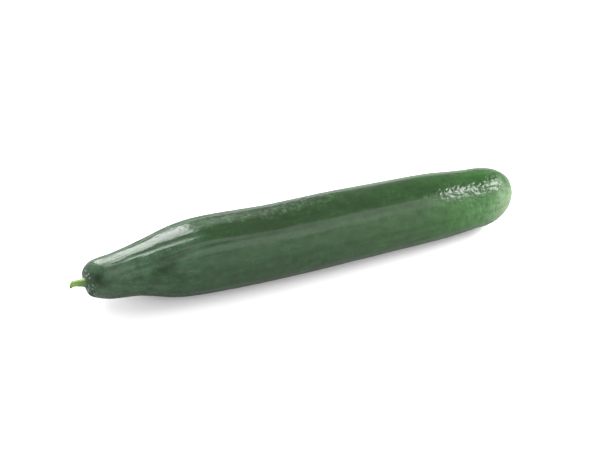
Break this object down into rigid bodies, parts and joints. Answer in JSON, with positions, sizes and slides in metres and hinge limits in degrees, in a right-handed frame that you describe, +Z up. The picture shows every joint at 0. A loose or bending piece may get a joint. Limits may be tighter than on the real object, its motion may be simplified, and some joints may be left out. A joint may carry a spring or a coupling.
{
  "type": "cucumber",
  "caption": "Whole long cucumber lying on its side: a smooth cylinder of a fruit, faintly ribbed, with a tapered neck, a rounded blossom end and a short cut stem.",
  "frame": {"origin": "under the middle of the object's box, on the surface that it rests on", "axes": "+X along the cucumber from the stem to the blossom end, +Y to its back, +Z up"},
  "size_m": [0.3022, 0.0506, 0.0493],
  "materials": {
    "skin": "waxy, satin to gloss, dark green",
    "stem": "satin, yellow green, fresh cut at the end"
  },
  "bodies": {
    "root": {"fruit": "skin", "stem": "stem"}
  },
  "joints": []
}
